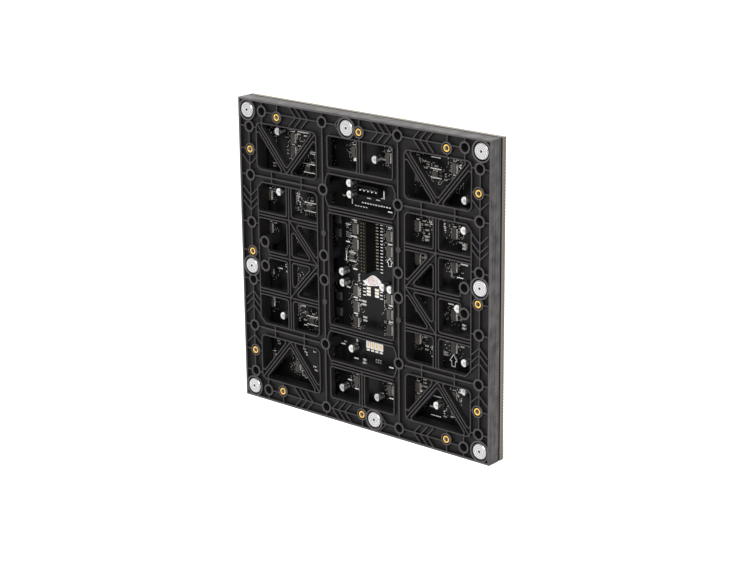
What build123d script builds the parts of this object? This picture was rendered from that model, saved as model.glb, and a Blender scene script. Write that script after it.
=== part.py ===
from build123d import *
import os
from math import atan2, cos, degrees, radians

# LED display module, 250 mm square: a ribbed rear frame moulding over a circuit board that
# carries the lamps on its far side. Sizes are millimetres.
# The parts are drawn in the rear view: x to the viewer's right, y up from the module's centre,
# z out of the rear face, which is z = 0. At the end each part is set upright in its own frame:
# +Z up, lamps towards -Y, rear face towards +Y, bottom edge on z = 0.

# Overall sizes
module_side = 250.0
frame_depth = 15.2
board_thickness = 2.0
lamp_height = 1.0
magnet_proud = 0.15
half_side = module_side / 2
total_depth = magnet_proud + frame_depth + board_thickness + lamp_height

# Places on the grid are drawn for a side of 250 and follow the side when it changes
drawn_side = 250.0
grid_scale = module_side / drawn_side

# Levels of the frame moulding, as depths below its rear face
rib_drop = 0.6
floor_depth = 3.0
floor_thickness = 2.6
floor_under = floor_depth + floor_thickness
wall_foot_gap = 3.2
rim_wall = 1.5
rib_width = 0.95
wide_rib_width = 1.3

# Shadow groove round the outer wall, above the flange that meets the board
groove_depth = 0.9
groove_width = 1.4
flange_height = 1.9

# Grid of the moulding: an outer band, four posts, and struts between the windows
band_width = 18.7
column_limit = half_side - band_width
post_inner = 32.0 * grid_scale
post_outer = 44.3 * grid_scale
post_middle = 37.5 * grid_scale
strut_pitch = 2.5
strut_half = strut_pitch + rib_width / 2
strut_column_x = 73.75 * grid_scale
strut_row_y = 32.0 * grid_scale
band_low = 58.5 * grid_scale
band_high = 69.7 * grid_scale
band_rib_y = 63.3 * grid_scale
band_ticks = (60.0 * grid_scale, 91.5 * grid_scale)
boss_pad_inner = column_limit - 9.7
boss_pad_half = 10.0
window_fillet = 1.6
corner_fillet = 4.0
corner_chamfer = 4.6
diagonal_overrun = 0.1
sloping_head_inset = 1.6
sloping_head_drop = 1.9
sloping_overrun = 0.12
post_node_radius = 2.3
post_node_y = 28.0 * grid_scale

# Centre column windows
centre_row_y = 48.2 * grid_scale
upper_sill_low = 76.3 * grid_scale
upper_sill_high = 81.8 * grid_scale
lower_row_y = 78.0 * grid_scale
notch_width = 2.4
notch_run = 5.0

# Rib lines of the outer band
band_line_side = half_side - 10.4
band_line_top = half_side - 9.0
chevron_reach = 7.9
chevron_rise = 7.2
side_chevrons = (34.0, 39.5, 46.0)
side_single_chevron = 71.5
top_chevrons = (52.0, 58.5, 64.5)
middle_chevrons = (18.5, 25.0, 31.5)
middle_single_chevron = -24.5

# Screw bosses, their screws and the solder nuts on the board
boss_radius = 4.8
boss_bore_radius = 3.35
boss_shelf_depth = 11.7
boss_shelf_thickness = 1.5
boss_ring_drop = 0.4
screw_head_radius = 2.75
screw_head_height = 1.8
screw_radius = 1.4
screw_clearance = 0.15
nut_across = 5.2
nut_clearance = 0.4
nut_height = frame_depth - boss_shelf_depth - boss_shelf_thickness
boss_columns_top = (post_middle, half_side - 24.5)
boss_top_y = half_side - 8.7
boss_side_x = half_side - 10.7
boss_rows_side = (24.0 * grid_scale, 63.1 * grid_scale, half_side - 22.5)
boss_pad_x = column_limit - 5.8
boss_pad_y = 10.0 * grid_scale
boss_inner = (
    (post_middle, boss_rows_side[1]),
    (post_middle, boss_pad_y),
    (boss_pad_x, boss_pad_y),
)

# Threaded inserts, each in a collar with a shallow recess round the brass
insert_radius = 3.1
insert_bore_radius = 1.85
insert_length = 9.0
insert_clearance = 0.05
insert_recess_radius = 4.0
insert_recess_depth = 1.2
insert_collar_radius = 4.8
insert_body_depth = 12.0
insert_side = half_side - 11.4
insert_offset = 84.2 * grid_scale

# Magnet posts, each in the middle of a wider cup
magnet_radius = 6.2
magnet_height = 4.2
magnet_chamfer = 0.4
magnet_dimple_radius = 0.65
magnet_dimple_depth = 0.3
magnet_cup_radius = 7.4
magnet_collar_radius = 8.6
magnet_body_depth = 6.6
magnet_corner = half_side - 9.2
magnet_side = half_side - 9.9
magnet_offset = 12.5

# Lamps on the front
lamp_rows = 96
lamp_size = 1.9
lamp_pitch = module_side / lamp_rows

# Electronics on the rear face of the board
chip_body_width = 3.9
chip_body_length = 8.6
chip_height = 1.5
chip_draft = 0.25
lead_reach = 1.05
lead_thickness = 0.25
lead_gap = 0.02
lead_margin = 0.3
driver_columns = (17.0, 45.2, 80.3, 107.0)
inner_driver_rows = (93.5, 32.0, 19.6, -18.6, -31.4, -44.2, -93.5)
outer_driver_rows = (95.0, 84.5, 45.0, 19.0, -19.0, -45.0, -84.5, -95.0)
edge_driver_rows = (93.0, 45.0, 17.4, -17.4, -45.0, -93.0)
switch_width = 3.9
switch_length = 4.9
switch_places = (
    (-65.0, 72.6),
    (-64.0, 41.3),
    (-64.0, -53.0),
    (62.5, 88.2),
    (-20.5, 8.6),
    (63.5, -53.0),
    (-62.0, 90.0),
    (62.0, 52.0),
)
buffer_width = 4.4
buffer_length = 6.5
buffer_height = 1.1
buffer_places = ((-34.8, 37.0), (-34.8, 26.0), (-34.8, -26.0), (-34.8, -39.0))
can_radius = 3.15
can_height = 6.0
can_base_side = 6.4
can_base_height = 0.8
can_base_chamfer = 1.3
can_edge = 0.3
can_places = (
    (-25.9, -2.9),
    (-25.4, -11.9),
    (-17.3, 69.8),
    (-17.0, 60.8),
    (8.7, 92.0),
    (94.5, 74.0),
    (-91.2, 100.0),
    (-91.0, 51.0),
    (93.8, 51.0),
    (-89.6, -52.3),
    (94.8, -52.3),
    (94.4, -75.0),
    (-17.0, -64.8),
    (-27.1, -99.8),
    (9.0, -99.8),
    (68.2, -92.5),
    (88.0, -10.6),
    (15.0, -8.2),
    (22.3, -8.6),
)

# Signal socket and its pads
socket_width = 7.5
socket_length = 41.2
socket_height = 12.2
socket_headroom = 2.1
socket_top = centre_row_y - strut_half - socket_headroom
socket_foot = socket_top - socket_length
socket_middle_y = (socket_top + socket_foot) / 2
socket_pins = 16
pin_pitch = 2.54
contact_offset = 1.27
contact_opening = 1.1
contact_opening_depth = 2.4
contact_width = 0.6
contact_rise = 1.5
tail_length = 2.4
tail_width = 0.9
tail_thickness = 0.4
pad_width = 4.0
pad_length = 2.0
pad_thickness = 0.2
pad_row_x = 4.2
spare_pad_rows = 3
spare_pad_drop = 15.9

# Auxiliary socket in the upper window
aux_width = 21.5
aux_length = 8.4
aux_height = 6.0
aux_wall = 0.9
aux_floor = 1.4
aux_middle = (0.2, 65.6)
aux_pins = 5
aux_pin_pitch = 3.96
aux_pin_width = 1.0
aux_pin_height = 4.6

# Power pads in the lower window
power_pads = 4
power_pad_pitch = 4.4
power_pad_width = 4.0
power_pad_length = 6.2
power_pad_middle = (1.3, -60.4)
power_tab_width = 3.0
power_tab_length = 1.4
power_tab_gap = 0.7

# Small chips, in short columns
capacitor_length = 1.6
capacitor_width = 0.8
capacitor_height = 0.7
capacitor_side_step = 4.6
capacitor_rise = 2.0
resistor_length = 1.6
resistor_width = 0.8
resistor_height = 0.45
resistor_step = 1.7
resistor_rows = 3
resistor_heads = (
    (-25.5, 35.0),
    (-25.5, 28.0),
    (-22.6, 27.5),
    (-26.5, 14.0),
    (55.0, 96.0),
    (55.0, 77.5),
)
array_length = 3.2
array_width = 1.6
array_height = 0.55
array_step = 2.6
array_rows = 2
array_heads = (
    (-8.6, -25.5),
    (-8.0, -38.5),
    (-9.0, -74.0),
    (89.5, 37.5),
    (89.5, -25.0),
    (54.0, 38.0),
)

# Inspection sticker across the foot of the signal socket
sticker_width = 18.5
sticker_height = 9.0
sticker_thickness = 0.2
sticker_drop = 9.1
sticker_middle = (-0.4, socket_foot - sticker_drop)
sticker_outline = (
    (-1.0, -0.3),
    (-0.45, 0.35),
    (0.05, 1.0),
    (0.55, 0.75),
    (1.0, -0.2),
    (0.5, -0.75),
    (-0.2, -1.0),
    (-0.75, -0.9),
)


def bar(start, end, width):
    """Flat bar of one width between two points."""
    run_x = end[0] - start[0]
    run_y = end[1] - start[1]
    length = (run_x ** 2 + run_y ** 2) ** 0.5
    angle = degrees(atan2(run_y, run_x))
    middle = ((start[0] + end[0]) / 2, (start[1] + end[1]) / 2)
    return Location((middle[0], middle[1], 0), (0, 0, angle)) * Rectangle(length, width)


def box_face(low_x, high_x, low_y, high_y):
    """Flat rectangle between two x and two y limits."""
    middle = Pos((low_x + high_x) / 2, (low_y + high_y) / 2)
    return middle * Rectangle(high_x - low_x, high_y - low_y)


def quarters(faces):
    """The faces with their mirror copies left-right, top-bottom and both."""
    copies = []
    for face in faces:
        copies.append(face)
        copies.append(mirror(face, Plane.YZ))
        copies.append(mirror(face, Plane.XZ))
        copies.append(Rot(0, 0, 180) * face)
    return copies


def turned(faces):
    """The faces with their copies turned half a turn about the centre."""
    return [copy for face in faces for copy in (face, Rot(0, 0, 180) * face)]


def joined(faces):
    """One sketch from many faces."""
    return Sketch() + list(faces)


def slab(sketch, top, bottom):
    """Solid over a sketch between two depths below the rear face."""
    return extrude(Pos(0, 0, -bottom) * sketch, amount=bottom - top, dir=(0, 0, 1))


def quarter_points(points):
    """Points with their mirror copies, each once."""
    copies = []
    for x, y in points:
        for place in ((x, y), (-x, y), (x, -y), (-x, -y)):
            if place not in copies:
                copies.append(place)
    return copies


def on_grid(places):
    """Places as they stand on a module of this side."""
    return [(x * grid_scale, y * grid_scale) for x, y in places]


def boss_places():
    top = [(x, boss_top_y) for x in boss_columns_top]
    side = [(boss_side_x, y) for y in boss_rows_side]
    return quarter_points(top + side + list(boss_inner))


def insert_places():
    side = [(insert_side, insert_offset), (insert_offset, insert_side)]
    middle = [(insert_side, 0.0), (0.0, insert_side)]
    return quarter_points(side) + [
        place for x, y in middle for place in ((x, y), (-x, -y))
    ]


def magnet_places():
    corner = quarter_points([(magnet_corner, magnet_corner)])
    middle = [(-magnet_offset, magnet_side), (magnet_side, magnet_offset)]
    return corner + [place for x, y in middle for place in ((x, y), (-x, -y))]


def circles(places, radius):
    return [Pos(x, y) * Circle(radius) for x, y in places]


def square_ring(outer_half, width):
    return Rectangle(2 * outer_half, 2 * outer_half) - Rectangle(
        2 * (outer_half - width), 2 * (outer_half - width)
    )


# Windows of the moulding
def sloping_struts():
    """Foot and head of the two struts that spread from the band to the upper corners."""
    middle_x = (post_outer + column_limit) / 2
    run = middle_x - post_outer - sloping_head_inset
    rise = column_limit - band_high - sloping_head_drop
    struts = []
    for side in (-1, 1):
        foot = (middle_x - side * run * sloping_overrun, band_high - rise * sloping_overrun)
        head_x = middle_x + side * run * (1 + sloping_overrun)
        head_y = band_high + rise * (1 + sloping_overrun)
        struts.append((foot, (head_x, head_y)))
    return struts


def corners_at(sketch, places):
    """The corners of a sketch that stand at given places."""
    return [
        corner
        for corner in sketch.vertices()
        if any(abs(corner.X - x) + abs(corner.Y - y) < 0.01 for x, y in places)
    ]


def rounded(cell, wide_places):
    """Wide fillets at the given corners of a cell and small ones at its other sharp corners."""
    wide = corners_at(cell, wide_places)
    small_places = [(corner.X, corner.Y) for corner in cell.vertices() if corner not in wide]
    cell = fillet(wide, corner_fillet)
    return fillet(corners_at(cell, small_places), window_fillet)


def corner_windows():
    """Three triangles either side of the two sloping struts."""
    cell = box_face(post_outer, column_limit, band_high, column_limit)
    for foot, head in sloping_struts():
        cell = cell - bar(foot, head, 2 * strut_half)
    return rounded(cell, [(post_outer, band_high), (column_limit, band_high)])


def side_windows():
    """Cells between the side posts' struts above the module's middle line."""
    cell = box_face(post_outer, column_limit, strut_half, band_low)
    cell = cell - bar((strut_column_x, 0), (strut_column_x, band_low), 2 * strut_half)
    cell = cell - bar((post_outer, strut_row_y), (column_limit, strut_row_y), 2 * strut_half)
    cell = cell - box_face(boss_pad_inner, column_limit, 0, boss_pad_half)
    run = (strut_column_x - post_outer) * diagonal_overrun
    start = (post_outer - run, -strut_row_y * diagonal_overrun)
    cell = cell - bar(start, (strut_column_x, strut_row_y), 2 * strut_half)
    cell = chamfer(corners_at(cell, [(column_limit, band_low)]), corner_chamfer)
    return rounded(cell, [(post_outer, band_low)])


def group_outlines():
    """Outlines that close the ends of the struts: one round each group of windows."""
    corner = box_face(post_outer, column_limit, band_high, column_limit)
    side = box_face(post_outer, column_limit, -band_low, band_low)
    outer_corners = [(column_limit, band_low), (column_limit, -band_low)]
    side = chamfer(corners_at(side, outer_corners), corner_chamfer)
    inner_corners = [(post_outer, band_low), (post_outer, -band_low)]
    side = fillet(corners_at(side, inner_corners), corner_fillet)
    upper = box_face(-post_inner, post_inner, upper_sill_high, column_limit)
    lower = box_face(-post_inner, post_inner, -column_limit, -lower_row_y - strut_half)
    groups = quarters([fillet(corner.vertices(), corner_fillet)])
    groups.extend([side, mirror(side, Plane.YZ)])
    groups.extend(fillet(face.vertices(), window_fillet) for face in (upper, lower))
    return groups


def connector_window(low, high):
    """Window that widens to the bosses beside it."""
    wide = post_inner + notch_width
    outline = Polyline(
        (-post_inner, low),
        (post_inner, low),
        (wide, low + notch_run),
        (wide, high - notch_run),
        (post_inner, high),
        (-post_inner, high),
        (-wide, high - notch_run),
        (-wide, low + notch_run),
        close=True,
    )
    return make_face(outline)


def centre_windows():
    gap = strut_half
    upper_pair = [
        box_face(gap, post_inner, upper_sill_high, column_limit),
        box_face(-post_inner, -gap, upper_sill_high, column_limit),
    ]
    lower_pair = [
        box_face(gap, post_inner, -column_limit, -lower_row_y - gap),
        box_face(-post_inner, -gap, -column_limit, -lower_row_y - gap),
    ]
    big = box_face(-post_inner, post_inner, -centre_row_y + gap, centre_row_y - gap)
    upper = connector_window(centre_row_y + gap, upper_sill_low)
    lower = connector_window(-lower_row_y + gap, -centre_row_y - gap)
    cell = joined(upper_pair + lower_pair + [big, upper, lower])
    return fillet(cell.vertices(), window_fillet)


def all_windows():
    return joined(quarters([corner_windows(), side_windows()]) + [centre_windows()])


def rims(outlines):
    """Thin wall round each outline."""
    walls = []
    for outline in outlines:
        walls.append(offset(outline, rib_width, kind=Kind.INTERSECTION) - outline)
    return walls


# Ribs of the moulding
def chevron(apex, direction, across, arm):
    """Two short ribs from one point, opening along a direction."""
    x, y = apex
    ribs = []
    for side in (-1, 1):
        end = (
            x + direction[0] * arm + direction[1] * side * across,
            y + direction[1] * arm + direction[0] * side * across,
        )
        ribs.append(bar(apex, end, rib_width))
    return ribs


def band_ribs():
    """Ribs of the outer band in one quarter."""
    outer = half_side - rim_wall / 2
    inner = column_limit + rib_width / 2
    ribs = [bar((band_line_side, 0), (band_line_side, boss_rows_side[-1]), rib_width)]
    ribs.append(bar((0, band_line_top), (boss_columns_top[-1], band_line_top), rib_width))
    for y in boss_rows_side + (insert_offset, 0):
        ribs.append(bar((inner, y), (outer, y), rib_width))
    for x in boss_columns_top + (insert_offset, 0):
        ribs.append(bar((x, inner), (x, outer), rib_width))
    for y in side_chevrons + (side_single_chevron,):
        apex = (band_line_side, y * grid_scale)
        ribs.extend(chevron(apex, (0, 1), chevron_reach, chevron_rise))
    for x in top_chevrons:
        apex = (x * grid_scale, band_line_top)
        ribs.extend(chevron(apex, (1, 0), chevron_reach, chevron_rise))
    return ribs


def middle_ribs():
    """Chevrons beside the magnet in the top band."""
    ribs = []
    for x in middle_chevrons:
        apex = (x * grid_scale, band_line_top)
        ribs.extend(chevron(apex, (-1, 0), chevron_reach, chevron_rise))
    single = (middle_single_chevron * grid_scale, band_line_top)
    ribs.extend(chevron(single, (1, 0), chevron_reach, chevron_rise))
    return ribs


def strut_ribs():
    """Middle ribs of the struts, posts and bands in one quarter."""
    top = column_limit + rib_width / 2
    ribs = [bar((post_middle, 0), (post_middle, top), wide_rib_width)]
    ribs.append(Pos(post_middle, post_node_y) * Circle(post_node_radius))
    ribs.append(bar((post_outer - rib_width, band_rib_y), (top, band_rib_y), wide_rib_width))
    for x in band_ticks:
        ribs.append(bar((x, band_low), (x, band_high), rib_width))
    ribs.append(bar((strut_column_x, 0), (strut_column_x, band_low), rib_width))
    ribs.append(bar((post_outer, strut_row_y), (top, strut_row_y), rib_width))
    ribs.append(bar((post_outer, 0), (boss_pad_inner, 0), rib_width))
    ribs.append(bar((post_outer, 0), (strut_column_x, strut_row_y), rib_width))
    corner_cell = box_face(post_outer, column_limit, band_high, column_limit)
    for foot, head in sloping_struts():
        ribs.append(bar(foot, head, rib_width) & corner_cell)
    return ribs


def centre_ribs():
    """Middle ribs of the struts across the centre column."""
    top = column_limit + rib_width / 2
    rows = (centre_row_y, -centre_row_y, -lower_row_y)
    ribs = [bar((-post_inner, y), (post_inner, y), rib_width) for y in rows]
    ribs.append(bar((0, upper_sill_high), (0, top), rib_width))
    ribs.append(bar((0, -top), (0, -lower_row_y), rib_width))
    return ribs


def recess_plan(floor_plan):
    """The floors between the ribs, walls and collars of the moulding."""
    raised = joined(quarters(band_ribs() + strut_ribs()) + turned(middle_ribs()) + centre_ribs())
    raised += rims(all_windows().faces()) + rims(group_outlines())
    raised += square_ring(half_side, rim_wall)
    raised += circles(boss_places(), boss_radius)
    raised += circles(insert_places(), insert_collar_radius)
    raised += circles(magnet_places(), magnet_collar_radius)
    return floor_plan - raised


def lower_walls():
    """Side wall with its groove and flange, and the walls and tubes under the floors."""
    inside = (floor_depth + floor_under) / 2
    skirt_bottom = frame_depth - flange_height - groove_width
    groove_bottom = frame_depth - flange_height
    wall_bottom = frame_depth - wall_foot_gap
    skirt = square_ring(half_side, rim_wall)
    groove_wall = square_ring(half_side - groove_depth, rim_wall - groove_depth)
    post_wall = box_face(post_outer - rib_width, post_outer, 0, column_limit)
    deep = joined(quarters([post_wall])) + square_ring(column_limit + rib_width, rib_width)
    return [
        slab(skirt, 0, skirt_bottom),
        slab(groove_wall, skirt_bottom, groove_bottom),
        slab(skirt, groove_bottom, frame_depth),
        slab(deep, inside, wall_bottom),
        slab(joined(circles(boss_places(), boss_radius)), boss_ring_drop, frame_depth),
        slab(joined(circles(insert_places(), insert_collar_radius)), 0, insert_body_depth),
        slab(joined(circles(magnet_places(), magnet_collar_radius)), 0, magnet_body_depth),
    ]


def pockets():
    """Bores, screw holes and seats that are cut into the moulding."""
    shelf_under = boss_shelf_depth + boss_shelf_thickness
    nut_seat = nut_across / 2 / cos(radians(30)) + nut_clearance
    return [
        slab(joined(circles(boss_places(), boss_bore_radius)), 0, boss_shelf_depth),
        slab(joined(circles(boss_places(), screw_radius + screw_clearance)),
             boss_shelf_depth, shelf_under),
        slab(joined(circles(boss_places(), nut_seat)), shelf_under, frame_depth),
        slab(joined(circles(insert_places(), insert_recess_radius)), 0, insert_recess_depth),
        slab(joined(circles(insert_places(), insert_radius + insert_clearance)),
             0, insert_length),
        slab(joined(circles(magnet_places(), magnet_cup_radius)),
             0, magnet_height - magnet_proud),
    ]


def rear_frame():
    """The ribbed moulding: one plate cut to its ribs, with walls, bosses and pockets."""
    open_windows = all_windows() - circles(boss_places(), boss_radius)
    floor_plan = Rectangle(module_side, module_side) - open_windows
    plate = slab(floor_plan, rib_drop, floor_under)
    plate -= slab(recess_plan(floor_plan), 0, floor_depth)
    return plate + lower_walls() - pockets()


def circuit_board():
    return slab(Rectangle(module_side, module_side), frame_depth, frame_depth + board_thickness)


def led_lamps():
    """One solid for each row of lamps on the front of the board."""
    top = frame_depth + board_thickness
    long_side = module_side - (lamp_pitch - lamp_size)
    rows = []
    for row in range(lamp_rows):
        y = (row + 0.5) * lamp_pitch - half_side
        rows.append(slab(Pos(0, y) * Rectangle(long_side, lamp_size), top, top + lamp_height))
    return rows


def magnet_posts():
    """Turned discs with a chamfered edge and a centre mark."""
    r = magnet_radius
    c = magnet_chamfer
    top = magnet_proud
    bottom = magnet_proud - magnet_height
    section = Polyline(
        (0, bottom),
        (r, bottom),
        (r, top - c),
        (r - c, top),
        (magnet_dimple_radius, top),
        (0, top - magnet_dimple_depth),
        close=True,
    )
    disc = revolve(make_face(Plane.XZ * section), Axis.Z)
    return [Pos(x, y) * disc for x, y in magnet_places()]


def threaded_inserts():
    ring = Circle(insert_radius) - Circle(insert_bore_radius)
    return [slab(Pos(x, y) * ring, 0, insert_length) for x, y in insert_places()]


def frame_screws():
    """Plain screws, each seated on the shelf of its boss."""
    head = slab(Circle(screw_head_radius), boss_shelf_depth - screw_head_height, boss_shelf_depth)
    screw = head + slab(Circle(screw_radius), boss_shelf_depth, frame_depth)
    return [Pos(x, y) * screw for x, y in boss_places()]


def solder_nuts():
    """Hexagon nuts on the board that the frame screws run into."""
    plan = RegularPolygon(nut_across / 2, 6, major_radius=False) - Circle(screw_radius)
    nut = slab(plan, frame_depth - nut_height, frame_depth)
    return [Pos(x, y) * nut for x, y in boss_places()]


# Electronics
def chip_body(width, length, height):
    """Moulded chip body with drafted long sides, seated on the board."""
    low = width / 2 - chip_draft
    outline = Polyline(
        (-low, 0),
        (low, 0),
        (width / 2, height / 2),
        (low, height),
        (-low, height),
        (-width / 2, height / 2),
        close=True,
    )
    body = extrude(make_face(Plane.XZ * outline), amount=length / 2, both=True)
    return Pos(0, 0, -frame_depth) * body


def lead_rows(width, length):
    """Rows of leads down both long sides, each as one strip of bent metal."""
    strips = []
    for side in (-1, 1):
        middle = side * (width / 2 + lead_gap + lead_reach / 2)
        plan = Pos(middle, 0) * Rectangle(lead_reach, length - 2 * lead_margin)
        strips.append(slab(plan, frame_depth - lead_thickness, frame_depth))
    return strips


def driver_places():
    rows = (inner_driver_rows, outer_driver_rows, outer_driver_rows, edge_driver_rows)
    places = []
    for x, column in zip(driver_columns, rows):
        for y in column:
            places.append((x, y))
            places.append((-x, y))
    return on_grid(places)


def spread(shapes, places, angle=0):
    """Copies of shapes at places in the rear view."""
    return [Pos(x, y) * (Rot(0, 0, angle) * shape) for x, y in places for shape in shapes]


def capacitor_bases():
    plan = Rectangle(can_base_side, can_base_side)
    plan = chamfer(plan.vertices().sort_by(Axis.Y)[-2:], can_base_chamfer)
    base = slab(plan, frame_depth - can_base_height, frame_depth)
    return spread([base], on_grid(can_places))


def capacitor_cans():
    """Drawn cans with a broken upper edge."""
    foot = can_base_height - frame_depth
    section = Polyline(
        (0, foot),
        (can_radius, foot),
        (can_radius, foot + can_height - can_edge),
        (can_radius - can_edge, foot + can_height),
        (0, foot + can_height),
        close=True,
    )
    can = revolve(make_face(Plane.XZ * section), Axis.Z)
    return spread([can], on_grid(can_places))


def socket_places():
    first = socket_middle_y - pin_pitch * (socket_pins - 1) / 2
    return [first + pin_pitch * pin for pin in range(socket_pins)]


def signal_socket():
    """Tall two-row socket with a square opening for each contact."""
    plan = Pos(0, socket_middle_y) * Rectangle(socket_width, socket_length)
    top = frame_depth - socket_height
    body = slab(plan, top, frame_depth)
    openings = [
        Pos(side * contact_offset, y) * Rectangle(contact_opening, contact_opening)
        for y in socket_places()
        for side in (-1, 1)
    ]
    return body - slab(joined(openings), top, top + contact_opening_depth)


def socket_contacts():
    """Contact tips standing on the floors of the socket's openings."""
    bottom = frame_depth - socket_height + contact_opening_depth
    tip = slab(Rectangle(contact_width, contact_width), bottom - contact_rise, bottom)
    places = [(side * contact_offset, y) for y in socket_places() for side in (-1, 1)]
    return spread([tip], places)


def socket_tails():
    """Flat tails on the board, either side of the socket."""
    tail = slab(Rectangle(tail_length, tail_width), frame_depth - tail_thickness, frame_depth)
    reach = socket_width / 2 + tail_length / 2
    places = [(side * reach, y) for y in socket_places() for side in (-1, 1)]
    return spread([tail], places)


def socket_pads():
    pad = slab(Rectangle(pad_width, pad_length), frame_depth - pad_thickness, frame_depth)
    places = []
    for row in range(spare_pad_rows):
        y = socket_foot - spare_pad_drop - row * pin_pitch
        places.extend([(-pad_row_x, y), (pad_row_x, y)])
    return spread([pad], places)


def auxiliary_socket():
    """Open-topped box socket."""
    outer = Rectangle(aux_width, aux_length)
    inner = Rectangle(aux_width - 2 * aux_wall, aux_length - 2 * aux_wall)
    body = slab(outer - inner, frame_depth - aux_height, frame_depth)
    body += slab(outer, frame_depth - aux_floor, frame_depth)
    return spread([body], [aux_middle])


def auxiliary_pins():
    top = frame_depth - aux_floor - aux_pin_height + aux_wall
    pin = slab(Rectangle(aux_pin_width, aux_pin_width), top, frame_depth - aux_floor)
    first = aux_middle[0] - aux_pin_pitch * (aux_pins - 1) / 2
    places = [(first + aux_pin_pitch * index, aux_middle[1]) for index in range(aux_pins)]
    return spread([pin], places)


def power_contact_pads():
    """Solder-coated pads with a small tab under each."""
    pad = Rectangle(power_pad_width, power_pad_length)
    tab_drop = power_pad_length / 2 + power_tab_gap + power_tab_length / 2
    tab = Pos(0, -tab_drop) * Rectangle(power_tab_width, power_tab_length)
    first = power_pad_middle[0] - power_pad_pitch * (power_pads - 1) / 2
    places = [(first + power_pad_pitch * index, power_pad_middle[1]) for index in range(power_pads)]
    shapes = [
        slab(pad, frame_depth - pad_thickness, frame_depth),
        slab(tab, frame_depth - pad_thickness, frame_depth),
    ]
    return spread(shapes, places)


def block(length, width, height):
    return slab(Rectangle(length, width), frame_depth - height, frame_depth)


def capacitor_places():
    """Decoupling capacitors beside each visible driver chip, towards the middle."""
    places = []
    for x, y in driver_places():
        if abs(x) < driver_columns[-1] * grid_scale:
            places.append((x + capacitor_side_step, y + capacitor_rise))
    return places


def columns(heads, step, rows):
    """Short columns of places that run down from each head."""
    return [(x, y - step * row) for x, y in on_grid(heads) for row in range(rows)]


def inspection_sticker():
    """Thin paper sticker with an uneven outline."""
    x, y = sticker_middle
    half = sticker_width / 2
    rise = sticker_height / 2
    points = [(x + across * half, y + up * rise) for across, up in sticker_outline]
    outline = Spline(*points, periodic=True)
    return slab(make_face(outline), frame_depth - sticker_thickness, frame_depth)


def nodes():
    """Every named node with its shapes in the rear view."""
    switches = on_grid(switch_places)
    buffers = on_grid(buffer_places)
    return {
        "rear_frame": [rear_frame()],
        "circuit_board": [circuit_board()],
        "led_lamps": led_lamps(),
        "magnet_posts": magnet_posts(),
        "threaded_inserts": threaded_inserts(),
        "frame_screws": frame_screws(),
        "solder_nuts": solder_nuts(),
        "driver_chips": spread(
            [chip_body(chip_body_width, chip_body_length, chip_height)], driver_places()),
        "driver_leads": spread(
            lead_rows(chip_body_width, chip_body_length), driver_places()),
        "switch_chips": spread(
            [chip_body(switch_width, switch_length, chip_height)], switches, 90),
        "switch_leads": spread(
            lead_rows(switch_width, switch_length), switches, 90),
        "buffer_chips": spread(
            [chip_body(buffer_width, buffer_length, buffer_height)], buffers),
        "buffer_leads": spread(
            lead_rows(buffer_width, buffer_length), buffers),
        "capacitor_cans": capacitor_cans(),
        "capacitor_bases": capacitor_bases(),
        "signal_socket": [signal_socket()],
        "socket_contacts": socket_contacts(),
        "socket_tails": socket_tails(),
        "socket_pads": socket_pads(),
        "auxiliary_socket": auxiliary_socket(),
        "auxiliary_pins": auxiliary_pins(),
        "power_pads": power_contact_pads(),
        "ceramic_capacitors": spread(
            [block(capacitor_width, capacitor_length, capacitor_height)], capacitor_places()),
        "resistors": spread(
            [block(resistor_length, resistor_width, resistor_height)],
            columns(resistor_heads, resistor_step, resistor_rows)),
        "resistor_arrays": spread(
            [block(array_length, array_width, array_height)],
            columns(array_heads, array_step, array_rows)),
        "inspection_sticker": [inspection_sticker()],
    }


# The upright frame of the row: rear view x runs towards -X, y towards +Z, z towards +Y
upright = Plane(
    origin=(0, total_depth / 2 - magnet_proud, half_side),
    x_dir=(-1, 0, 0),
    z_dir=(0, 1, 0),
)


def main():
    os.makedirs("parts", exist_ok=True)
    for name, shapes in nodes().items():
        placed = [upright.location * shape for shape in shapes]
        solids = [solid for shape in placed for solid in shape.solids()]
        part = solids[0] if len(solids) == 1 else Compound(children=solids)
        export_step(part, f"parts/{name}.step")


main()
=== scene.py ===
import math
import random
from functools import partial

import bmesh
import bpy
from mathutils import Matrix, Vector


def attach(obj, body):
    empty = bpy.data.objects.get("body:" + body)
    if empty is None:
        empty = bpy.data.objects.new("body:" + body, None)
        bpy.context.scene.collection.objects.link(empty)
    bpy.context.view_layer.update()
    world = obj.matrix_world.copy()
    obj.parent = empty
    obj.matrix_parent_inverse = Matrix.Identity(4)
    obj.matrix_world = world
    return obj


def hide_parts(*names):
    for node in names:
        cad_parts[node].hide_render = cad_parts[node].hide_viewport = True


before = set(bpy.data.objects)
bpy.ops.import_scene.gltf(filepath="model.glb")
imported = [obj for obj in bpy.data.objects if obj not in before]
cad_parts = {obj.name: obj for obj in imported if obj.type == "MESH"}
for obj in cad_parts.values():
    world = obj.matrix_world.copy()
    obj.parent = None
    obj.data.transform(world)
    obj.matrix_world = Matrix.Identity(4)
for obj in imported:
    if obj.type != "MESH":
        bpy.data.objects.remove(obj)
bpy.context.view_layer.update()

# LED display module seen from behind. Sizes are millimetres in the rear view: x to the viewer's
# right, y up from the middle, z out of the rear face. They repeat those of the CAD source.
mm = 0.001
half_side = 125.0
frame_depth = 15.2
board_thickness = 2.0
lamp_height = 1.0
lamp_count = 96
lamp_side = 1.9
rear_level = 9.025
board_level = -frame_depth
front_level = board_level - board_thickness

# Shadow groove, painted dark together with a band 0.5 mm wide on its rear side as painted shade,
# and the flange in front of it, in the module's own frame
groove_shade_middle = rear_level - 12.35
groove_shade_half = 0.97
flange_level = rear_level - 13.3

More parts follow.
